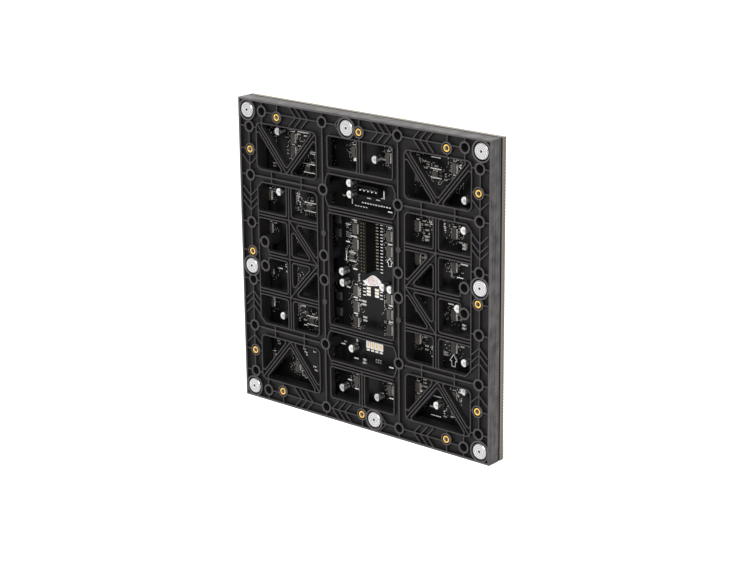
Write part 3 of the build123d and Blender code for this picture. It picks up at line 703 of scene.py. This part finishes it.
# Small parts that only the looks carry, by place: lying ones and upright ones
lying_parts = (
    (-20.5, 13.4), (-12.8, -25.4), (-10.6, -28.4), (-29.0, -63.0), (-28.0, 57.0), (-74.6, 99.0),
    (-67.4, 98.6), (-74.0, 89.6), (-72.4, 87.4), (-60.5, 78.2), (-62.0, 46.9), (-101.2, 71.9),
    (-101.0, 69.6), (-102.0, 22.2), (-98.0, -12.6), (-89.6, -16.6), (-62.5, -47.0),
    (-71.6, -53.6), (-101.8, -77.8), (-101.0, -80.0), (-62.0, -79.0), (-62.0, -91.6),
    (-60.8, -94.5), (-74.6, -101.9), (-72.0, -103.2), (63.0, 94.0), (72.0, 84.9), (51.6, 96.4),
    (53.0, 91.4), (54.4, 43.2), (51.2, 49.8), (53.4, 47.4), (58.0, 50.3), (53.0, 22.4),
    (51.0, 20.9), (86.4, 39.0), (90.5, 38.6), (90.5, 36.2), (52.4, -42.2), (88.0, -42.6),
    (72.6, -50.2), (72.6, -52.2), (53.6, -49.0), (53.6, -52.0), (51.8, -77.0), (51.8, -79.6),
    (52.4, -82.5), (86.0, -79.6), (58.2, -97.2), (71.6, -102.6), (78.4, -101.2), (13.0, 91.5))
upright_parts = (
    (-13.6, -5.6), (-13.6, -8.2), (-13.0, -18.4), (-13.0, -21.6), (-16.6, -58.0), (-16.4, -61.0),
    (-90.4, 98.6), (-77.0, 49.8), (-75.0, 49.2), (-76.2, 45.8), (-74.2, 42.8), (-76.0, 38.2),
    (-73.4, 36.8), (-103.2, 49.2), (-101.2, 49.2), (-91.2, -11.6), (-77.4, -54.6),
    (-73.8, -78.0), (-72.2, -80.0), (-70.4, -82.4), (-75.6, -99.2), (72.0, 88.2), (86.0, 97.0),
    (51.4, 39.4), (53.8, 37.0), (50.2, 35.6), (56.2, 39.6), (71.0, 50.0), (71.6, 47.0),
    (85.0, 50.4), (59.2, -49.6), (86.2, -76.4), (71.0, -99.4), (78.0, 12.6), (3.0, -72.4),
    (5.2, -72.4), (7.4, -72.4))
small_chips = small_chip_tree()
for name, places, sizes, block, node in (
    ("ceramic_capacitor_chips", capacitor_places, (1.6, 0.8, 0.7, 0.4, 0.0, quarter), titanate,
     "ceramic_capacitors"),
    ("resistor_chips", resistor_places, (1.6, 0.8, 0.45, 0.35, 0.4, 0.0), glazed_resistor,
     "resistors"),
    ("resistor_array_chips", array_places, (3.2, 1.6, 0.55, 0.45, 0.5, 0.0), alumina,
     "resistor_arrays"),
    ("lying_chips", lying_parts, (2.0, 1.2, 0.6, 0.5, 0.6, 0.0), titanate, None),
    ("upright_chips", upright_parts, (2.0, 1.2, 0.6, 0.5, 0.5, quarter), glazed_resistor, None),
):
    length, width, height, end, pad, turn = sizes
    chip_mesh = grown(name, [(x, y, 0.0) for x, y in places], small_chips, {
        "Length": length, "Width": width, "Height": height, "End": end, "Lip": 0.03,
        "Pad": pad, "Turn": turn, "Block": block, "Plate": tin})
    chip_mesh.transform(Matrix.Translation((0, 0, board_level)))
    set_piece(name, chip_mesh, [node] if node else [])


# Turned shapes
def turned_mesh(name, profile, around):
    """A solid of revolution about z from its radii and heights, closed at both ends."""
    shape = bmesh.new()
    rings = []
    for radius, height in profile:
        rings.append([
            shape.verts.new((
                radius * math.cos(2 * math.pi * i / around),
                radius * math.sin(2 * math.pi * i / around),
                height,
            ))
            for i in range(around)
        ])
    for low, high in zip(rings, rings[1:]):
        for i in range(around):
            j = (i + 1) % around
            shape.faces.new((low[i], low[j], high[j], high[i]))
    shape.faces.new(rings[-1])
    shape.faces.new(list(reversed(rings[0])))
    mesh = bpy.data.meshes.new(name)
    shape.to_mesh(mesh)
    shape.free()
    return mesh


# Capacitor cans: drawn cans with a rolled waist and a printed segment on top
def can_mesh():
    """One can as a turned profile, with its top face mapped for the print."""
    r = can_radius
    can_width = 2 * r
    profile = ((2.95, 0.8), (r, 0.95), (r, 1.6), (2.85, 1.85), (2.85, 2.1), (r, 2.35),
               (r, 6.4), (3.08, can_rim_level), (2.9, 6.78), (2.72, 6.8), (2.6, 6.7), (1.2, 6.7))
    mesh = turned_mesh("can", profile, 28)
    shape = bmesh.new()
    shape.from_mesh(mesh)
    map_layer = shape.loops.layers.uv.new("can_top")
    for face in shape.faces:
        top = min(vert.co.z for vert in face.verts) > can_rim_level
        for loop in face.loops:
            spot = loop.vert.co
            if top:
                loop[map_layer].uv = (spot.x / can_width + 0.5, spot.y / can_width + 0.5)
            else:
                loop[map_layer].uv = (abs(math.atan2(spot.y, spot.x)) / math.pi, 2.0)
    for face in shape.faces:
        face.smooth = abs(face.normal.z) < 0.9
    shape.to_mesh(mesh)
    shape.free()
    return mesh


def can_tree():
    tree, add, given = new_tree("capacitor_cans", Object=["Can"], Material=["Metal"])
    can = add("GeometryNodeObjectInfo", {"Object": given["Can"]}).outputs["Geometry"]
    end_tree(add, given["Geometry"], can, given["Metal"])
    return tree


can_places = (
    (-25.9, -2.9), (-25.4, -11.9), (-17.3, 69.8), (-17.0, 60.8), (8.7, 92.0), (94.5, 74.0),
    (-91.2, 100.0), (-91.0, 51.0), (93.8, 51.0), (-89.6, -52.3), (94.8, -52.3), (94.4, -75.0),
    (-17.0, -64.8), (-27.1, -99.8), (9.0, -99.8), (68.2, -92.5), (88.0, -10.6), (15.0, -8.2),
    (22.3, -8.6))
cans = grown("capacitor_can_set", on_board(can_places), can_tree(),
             {"Metal": drawn_aluminium()}, ("Can", can_mesh()))
set_piece("capacitor_can_set", cans, ["capacitor_cans"])


# Contacts of the signal socket: a foot with two bent leaves in each opening
def contact_tree():
    tree, add, given = new_tree(
        "leaf_contacts", Material=["Metal"],
        Float=["Width", "Thickness", "Rise", "Foot", "Mouth", "Root"])
    foot = standing_box(add, given["Width"], given["Width"], given["Foot"])
    out = add(MATH, (given["Mouth"], 0.5), operation="MULTIPLY")
    waist = add(MATH, (given["Rise"], 0.75), operation="MULTIPLY")
    root = (given["Root"], given["Foot"])
    leaf = bent_strip(add, (root, root, (0.0, waist), (out, given["Rise"])),
                      given["Width"], given["Thickness"])
    both = add(JOIN, {"Geometry": [foot, leaf, half_turned(add, leaf)]})
    end_tree(add, given["Geometry"], both, given["Metal"])
    return tree


opening_floor = board_level + socket_height - opening_depth
contact_places = [
    (side * contact_offset, socket_middle_y + pin_pitch * (pin - (socket_pins - 1) / 2),
     opening_floor)
    for pin in range(socket_pins)
    for side in (-1, 1)
]
contacts = grown("leaf_contacts", contact_places, contact_tree(), {
    "Width": 0.7, "Thickness": 0.14, "Rise": 2.15, "Foot": 0.5, "Mouth": 0.66, "Root": 0.2,
    "Metal": gold})
set_piece("leaf_contacts", contacts, ["socket_contacts"])


# Frame screws: pan heads with a cross recess, at the foot of the deep bosses
boss_places = [
    (side_x * x, side_y * y)
    for x, y in ((37.5, 116.3), (100.5, 116.3), (114.3, 24.0), (114.3, 63.1), (114.3, 102.5),
                 (37.5, 63.1), (37.5, 10.0), (100.5, 10.0))
    for side_x in (1, -1)
    for side_y in (1, -1)
]


def screw_tree():
    tree, add, given = new_tree(
        "frame_screws", Object=["Screw"], Material=["Metal"],
        Float=["Recess length", "Recess width", "Recess depth", "Head level", "Turn"])
    screw = add("GeometryNodeObjectInfo", {"Object": given["Screw"]}).outputs["Geometry"]
    lift = add(POINT, {"Z": given["Head level"]})
    deep = add(MATH, (given["Recess depth"], 2.0), operation="MULTIPLY")
    slots = []
    for along, over in (("Recess length", "Recess width"), ("Recess width", "Recess length")):
        slot = add(BOX, {"Size": add(POINT, (given[along], given[over], deep))})
        slots.append(add(SHIFT, {"Geometry": slot, "Translation": lift}))
    cross = add("GeometryNodeMeshBoolean", {"Mesh 1": screw, "Mesh 2": slots},
                operation="DIFFERENCE")
    turn = add(MATH, (add("GeometryNodeInputIndex"), given["Turn"]), operation="MULTIPLY")
    end_tree(add, given["Geometry"], cross, given["Metal"], turn)
    return tree


screw_profile = (
    (screw_radius, board_level), (screw_radius, shelf_level), (screw_head_radius, shelf_level),
    (screw_head_radius, -11.0), (2.55, -10.35), (2.0, -10.0), (0.7, head_level))
screws = grown("frame_screw_set", [(x, y, 0.0) for x, y in boss_places], screw_tree(), {
    "Recess length": 2.8, "Recess width": 0.55, "Recess depth": 0.8, "Head level": head_level,
    "Turn": 0.7, "Metal": black_zinc}, ("Screw", turned_mesh("screw", screw_profile, 20)))
set_piece("frame_screw_set", screws, ["frame_screws"])


# Vias: small tinned rings in loose groups round the chips, kept clear of every part
def via_tree():
    tree, add, given = new_tree(
        "vias", Float=["Radius", "Thickness"], Int=["Sides"], Material=["Metal"])
    ring = add("GeometryNodeMeshCylinder", {
        "Vertices": given["Sides"], "Radius": given["Radius"], "Depth": given["Thickness"]})
    end_tree(add, given["Geometry"], ring, given["Metal"])
    return tree


def via_places():
    """Grid points near the chips, each kept by a fixed chance where nothing stands."""
    step, steps = 1.3, 82
    chip_reach, kept_share = 9.0, 0.3
    chance = random.Random(77)
    # What stands on the board, by its middle and half its width and height; the last four are
    # both sockets, the spare pads with the sticker, and the power pads
    taken = [(x, y, 3.3, 4.7) for x, y in driver_places]
    taken += [(x, y, 2.8, 3.4) for x, y in switch_places]
    taken += [(x, y, 3.6, 3.6) for x, y in buffer_places + can_places]
    taken += [(x, y, 2.6, 1.6) for x, y in capacitor_places + resistor_places + array_places]
    taken += [(x, y, 1.9, 1.9) for x, y in lying_parts + upright_parts]
    taken += [(x, y, 5.4, 5.4) for x, y in boss_places]
    taken += [(0, 22.5, 6.8, 21.2), (0.2, 65.6, 11.2, 4.6), (0, -15, 10.5, 13), (1.3, -62, 9.5, 5.5)]
    places = []
    for column in range(-steps, steps + 1):
        for row in range(-steps, steps + 1):
            x, y = column * step, row * step
            near = min(math.hypot(x - a, y - b) for a, b in driver_places + list(switch_places))
            if near < chip_reach and chance.random() < kept_share and not any(
                    abs(x - a) < w and abs(y - b) < h for a, b, w, h in taken):
                places.append((x, y, board_level + print_thickness / 2))
    return places


vias = grown("tinned_vias", via_places(), via_tree(), {
    "Radius": 0.3, "Thickness": print_thickness, "Sides": 8, "Metal": tin})
set_piece("tinned_vias", vias)


# Printed marks of the board: plain bars, ticks and arrows in a thin layer of ink
def bars_mesh(name, bars, thickness):
    """Flat bars, each from its middle, length, width and angle."""
    shape = bmesh.new()
    for x, y, length, width, angle in bars:
        turn = Matrix.Translation((x, y, board_level + thickness / 2))
        turn = turn @ Matrix.Rotation(math.radians(angle), 4, "Z")
        turn = turn @ Matrix.Diagonal((length, width, thickness, 1))
        bmesh.ops.create_cube(shape, size=1.0, matrix=turn)
    mesh = bpy.data.meshes.new(name)
    shape.to_mesh(mesh)
    shape.free()
    return mesh


def stroke(start, end, width):
    """A bar between two points."""
    run = Vector(end) - Vector(start)
    middle = (Vector(start) + Vector(end)) / 2
    return (*middle, run.length, width, math.degrees(math.atan2(run.y, run.x)))


def arrow(x, low, high, half):
    """Outline of an upright arrow."""
    neck = low + (high - low) * 0.45
    outline = ((x - half / 2, low), (x - half / 2, neck), (x - half, neck), (x, high),
               (x + half, neck), (x + half / 2, neck), (x + half / 2, low))
    return [stroke(a, b, 0.5) for a, b in zip(outline, outline[1:] + outline[:1])]


def printed_bars():
    """Rows, dashes and arrows where the board is printed, a line above and below each switch
    chip, and four dashes above each driver chip."""
    bars = [(18, y, 4.4, 1.0, 0) for y in (51, 38.7, 25.3, -24, -37.4, -50, -74.8, -100.5)]
    bars += [(-17.8, y, 4.4, 1.0, 0) for y in (38.8, -0.9, -24.1, -37.3, -74.8, -100.4)]
    bars += [(-25, y, 4.0, 1.0, 0) for y in (20.2, -17, -94.5)]
    bars += [(-9.4 + 2.7 * i, 54.2, 1.5 + 0.3 * (i % 2), 0.9, 0) for i in range(11)]
    bars += [(-16.4 + 2.7 * i, 50.8, 1.5, 0.7, 0) for i in range(5)]
    bars += [(-3, 58.5, 4, 0.8, 0), (6, 58.5, 4, 0.8, 0)]
    bars += [(-20, 53.5, 0.7, 4, 0), (-0.6, 60.6, 23, 0.9, 0), (12.0, 63.4, 0.9, 6.4, 0)]
    bars += [(9.2, 1 + pin_pitch * i, 2.4, 0.7, 0) for i in range(socket_pins)]
    bars += [(side * 8.6, y, 2.8, 0.8, 0) for side in (-1, 1) for y in (-12, -15, -17.6, -20.4)]
    for x, y, half in ((-20.5, 8.6, 3.6), (-64, 72.9, 6), (-64, 41.4, 6), (-64, -53, 6),
                       (62.5, 88.4, 5.2), (63.5, -53, 5.2), (-62, 90, 5.2), (62, 52, 5.2)):
        bars += [(x, y + side * 3.5, 2 * half, 0.6, 0) for side in (-1, 1)]
    bars += arrow(17.3, 7.6, 14.2, 2.9) + arrow(79.5, -60, -50.5, 3.5)
    bars += [(-24.5, 34.4, 5, 0.7, 0), (-19.2, 25.4, 7, 0.8, 0), (-26.8, 8.6, 0.8, 8.5, 0),
             (62.5, 100.6, 9, 0.7, 0), (-70, 101, 11, 0.8, 0), (-60.5, 85, 5, 0.8, 0),
             (-32, -65.4, 6, 0.7, 0), (-98.5, -15.2, 6, 0.8, 0), (-71.2, -58, 4, 0.7, 0),
             (77, -10.8, 5.5, 0.9, 0), (85.5, 11.4, 6, 0.8, 0), (79, 14.6, 4.6, 0.8, 0),
             (-73.4, -42.2, 5, 1.2, 0), (89.4, 22.4, 7, 1.1, 0), (63.5, -88.2, 9, 0.6, 0),
             (62.5, -104.2, 10, 0.6, 0), (-15.9, 88.6, 0.9, 5.2, 0), (-16.8, 87.7, 0.9, 3.4, 0),
             (-17.7, 86.9, 0.9, 1.8, 0), (-12, 77.6, 4, 0.6, 0), (47.4, -87, 3.4, 1, 0)]
    for x, y in driver_places:
        bars += [(x - 1.2 + 0.8 * i, y + 5.2, 0.55, 0.8, 0) for i in range(4)]
    return bars


print_mesh = bars_mesh("board_print", printed_bars(), print_thickness)
set_piece("board_print", print_mesh, materials=[ink])


# Camera at the photograph's place and direction, fitted in the module's own frame
camera_spot = (-0.9489, 1.1151, 0.5718)
camera_forward = (0.6163, -0.7299, -0.2956)
camera_right = (-0.7659, -0.6429, -0.0094)
focal_pixels = 1978.8
picture_pixels = 750
sensor_width = 36.0


def place_camera():
    forward = Vector(camera_forward).normalized()
    right = Vector(camera_right)
    right = (right - right.dot(forward) * forward).normalized()
    up = right.cross(forward)
    lens = bpy.data.cameras.new("camera")
    lens.sensor_width = sensor_width
    lens.lens = focal_pixels / picture_pixels * sensor_width
    lens.clip_start = 0.01
    lens.clip_end = 50.0
    camera = bpy.data.objects.new("camera", lens)
    turn = Matrix((right, up, -forward)).transposed().to_4x4()
    camera.matrix_world = Matrix.Translation(camera_spot) @ turn
    bpy.context.scene.collection.objects.link(camera)
    bpy.context.scene.camera = camera


def place_lamp(name, spot, power, size):
    """Square soft light aimed at the module's middle."""
    data = bpy.data.lights.new(name, "AREA")
    data.energy = power
    data.size = size
    lamp = bpy.data.objects.new(name, data)
    lamp.location = spot
    aim = Vector((0, 0, half_side * mm)) - Vector(spot)
    lamp.rotation_euler = aim.to_track_quat("-Z", "Y").to_euler()
    bpy.context.scene.collection.objects.link(lamp)


def rays_of(add, *kinds):
    """One for rays of these kinds, zero for others."""
    ray = add("ShaderNodeLightPath").outputs
    seen = ray[kinds[0]]
    for kind in kinds[1:]:
        seen = add(MATH, (seen, ray[kind]), operation="MAXIMUM")
    return seen


def studio():
    """White world for camera, gloss and glass, softer for diffuse light, over a pale floor."""
    world = bpy.data.worlds.new("studio")
    add = emptied(world)
    seen = rays_of(add, "Is Camera Ray", "Is Glossy Ray", "Is Transmission Ray")
    level = add(RANGE, (seen, 0.0, 1.0, 0.25, 1.0))
    back = add("ShaderNodeBackground", {"Color": (1, 1, 1, 1), "Strength": level})
    add("ShaderNodeOutputWorld", {"Surface": back})
    bpy.context.scene.world = world

    reach = 6.0
    floor_mesh = bpy.data.meshes.new("floor")
    floor_mesh.from_pydata(
        [(-reach, -reach, 0), (reach, -reach, 0), (reach, reach, 0), (-reach, reach, 0)], [],
        [(0, 1, 2, 3)])
    floor = bpy.data.objects.new("floor", floor_mesh)
    bpy.context.scene.collection.objects.link(floor)
    material = bpy.data.materials.new("pale_floor")
    add = emptied(material)
    matt = add("ShaderNodeBsdfDiffuse", {"Color": "#e9e9e9"})
    # Near the module the floor keeps its shadow; from 0.8 m to 2.2 m off it goes over to white
    spot = add("ShaderNodeTexCoord").outputs["Object"]
    away = add(VECTOR, (spot,), operation="LENGTH")
    share = add(RANGE, (away, 0.8, 2.2, 0.55, 1.0))
    shown = add(MATH, (rays_of(add, "Is Camera Ray", "Is Glossy Ray"), share),
                operation="MULTIPLY")
    glow = add("ShaderNodeEmission", {"Color": (1, 1, 1, 1), "Strength": shown})
    both = add("ShaderNodeAddShader", (matt, glow))
    add("ShaderNodeOutputMaterial", {"Surface": both})
    floor_mesh.materials.append(material)


place_camera()
studio()
place_lamp("key", (-0.75, 1.7, 1.05), 34.0, 0.8)
place_lamp("top", (0.1, 0.15, 1.9), 36.0, 0.7)
bpy.context.scene.view_settings.view_transform = "Standard"
